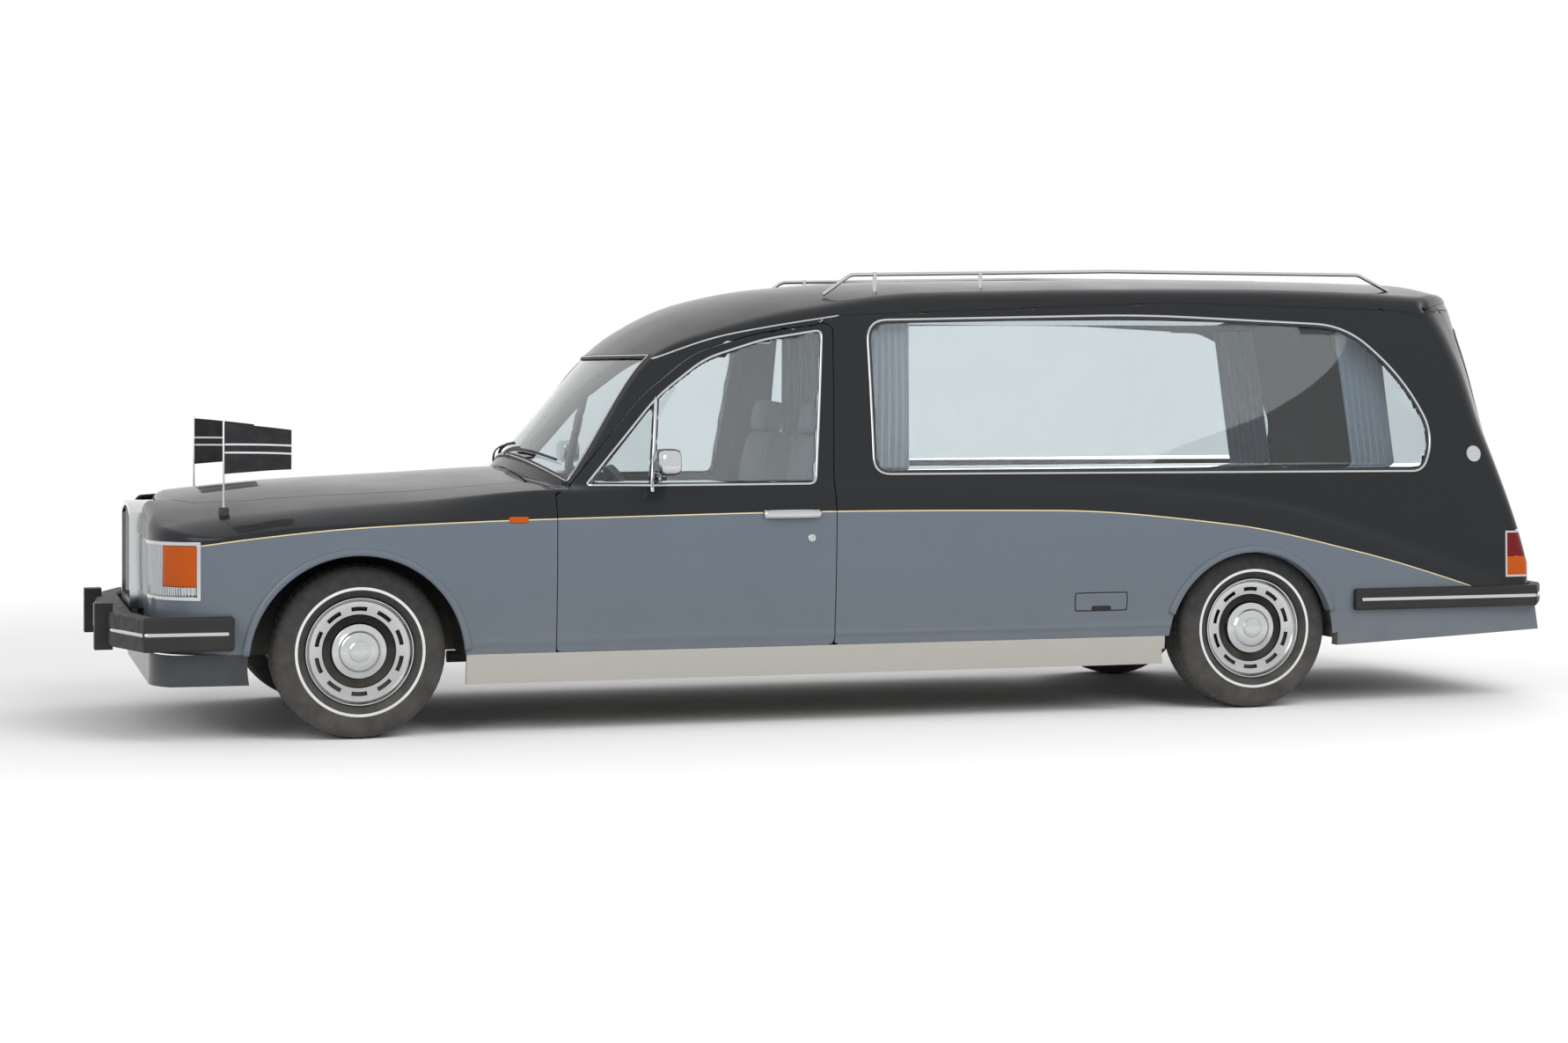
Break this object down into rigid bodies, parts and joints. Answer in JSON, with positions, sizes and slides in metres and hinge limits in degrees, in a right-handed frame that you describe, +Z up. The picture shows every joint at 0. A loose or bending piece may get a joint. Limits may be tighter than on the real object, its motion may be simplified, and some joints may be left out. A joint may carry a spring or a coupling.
{
  "type": "hearse",
  "caption": "Two-door hearse with long side windows, curtained load space, opening doors, bonnet and tailgate, steered front wheels, roof rails and wing pennants.",
  "frame": {"origin": "on the ground, below the middle of the car's length and width", "axes": "+X forward, +Y to the car's left, +Z up"},
  "size_m": [6.3248, 2.201, 1.8966],
  "materials": {
    "dark_paint": "gloss black clear coat",
    "grey_paint": "metallic slate clear coat",
    "chrome": "polished",
    "stainless": "satin brushed",
    "glass": "lightly tinted",
    "black_rubber": "satin black",
    "tyre": "matt rubber",
    "rim": "polished steel trim",
    "lamp_clear": "clear lens over bright reflector",
    "lamp_red": "red and amber lens",
    "upholstery": "grey blue leather",
    "curtain": "pleated fabric",
    "trim_plastic": "dark grained trim",
    "deck": "dark varnished board with rollers",
    "underbody": "black underseal",
    "cast": "plain casting",
    "steel": "weathered steel",
    "cloth_flag": "black pennant cloth"
  },
  "bodies": {
    "root": {"wing_left": "grey_paint", "wing_right": "grey_paint", "cowl": "dark_paint", "front_apron": "grey_paint", "roof": "dark_paint", "pillars": "dark_paint", "body_side_left": "grey_paint", "body_side_right": "grey_paint", "rear_valance": "grey_paint", "fixed_glass": "glass", "headlamps": "lamp_clear", "tail_lamps": "lamp_red", "sill_trims": "stainless", "grille": "chrome", "front_bumper": "black_rubber", "rear_bumper": "black_rubber", "roof_rails": "chrome", "flags": "cloth_flag", "floor_pan": "underbody", "coffin_deck": "deck", "seats": "upholstery", "dashboard": "trim_plastic", "curtains": "curtain", "engine_block": "cast", "front_subframe": "underbody", "rear_axle": "cast", "exhaust": "steel"},
    "door_l": {"door_left": "grey_paint", "door_glass_left": "glass", "mirror_left": "chrome"},
    "door_r": {"door_right": "grey_paint", "door_glass_right": "glass", "mirror_right": "chrome"},
    "bonnet_lid": {"bonnet": "dark_paint"},
    "tailgate_lid": {"tailgate": "dark_paint", "tailgate_glass": "glass"},
    "steer_l": {"knuckle_left": "cast"},
    "steer_r": {"knuckle_right": "cast"},
    "wheel_fl": {"tyre_front_left": "tyre", "rim_front_left": "rim"},
    "wheel_fr": {"tyre_front_right": "tyre", "rim_front_right": "rim"},
    "wheel_rl": {"tyre_rear_left": "tyre", "rim_rear_left": "rim"},
    "wheel_rr": {"tyre_rear_right": "tyre", "rim_rear_right": "rim"}
  },
  "joints": [
    {"name": "door_left_open", "type": "hinge", "parent": "root", "child": "door_l", "pos_m": [1.3905, 0.94, 0.6], "axis": [0, 0, -1], "range_deg": [0, 65]},
    {"name": "door_right_open", "type": "hinge", "parent": "root", "child": "door_r", "pos_m": [1.3905, -0.94, 0.6], "axis": [0, 0, 1], "range_deg": [0, 65]},
    {"name": "bonnet_open", "type": "hinge", "parent": "root", "child": "bonnet_lid", "pos_m": [1.4675, 0, 1.038], "axis": [0, -1, 0], "range_deg": [0, 50]},
    {"name": "tailgate_open", "type": "hinge", "parent": "root", "child": "tailgate_lid", "pos_m": [-2.97088, 0, 1.72975], "axis": [0, 1, 0], "range_deg": [0, 85]},
    {"name": "steer_left", "type": "hinge", "parent": "root", "child": "steer_l", "pos_m": [2.1675, 0.665, 0.345], "axis": [0, 0, 1], "range_deg": [-32, 32]},
    {"name": "steer_right", "type": "hinge", "parent": "root", "child": "steer_r", "pos_m": [2.1675, -0.665, 0.345], "axis": [0, 0, 1], "range_deg": [-32, 32]},
    {"name": "spin_front_left", "type": "hinge", "parent": "steer_l", "child": "wheel_fl", "pos_m": [2.1675, 0.77, 0.345], "axis": [0, 1, 0], "continuous": true},
    {"name": "spin_front_right", "type": "hinge", "parent": "steer_r", "child": "wheel_fr", "pos_m": [2.1675, -0.77, 0.345], "axis": [0, 1, 0], "continuous": true},
    {"name": "spin_rear_left", "type": "hinge", "parent": "root", "child": "wheel_rl", "pos_m": [-1.6625, 0.77, 0.345], "axis": [0, 1, 0], "continuous": true},
    {"name": "spin_rear_right", "type": "hinge", "parent": "root", "child": "wheel_rr", "pos_m": [-1.6625, -0.77, 0.345], "axis": [0, 1, 0], "continuous": true}
  ],
  "couplings": [
    {"joint": "steer_right", "follows": "steer_left", "ratio": 1}
  ]
}
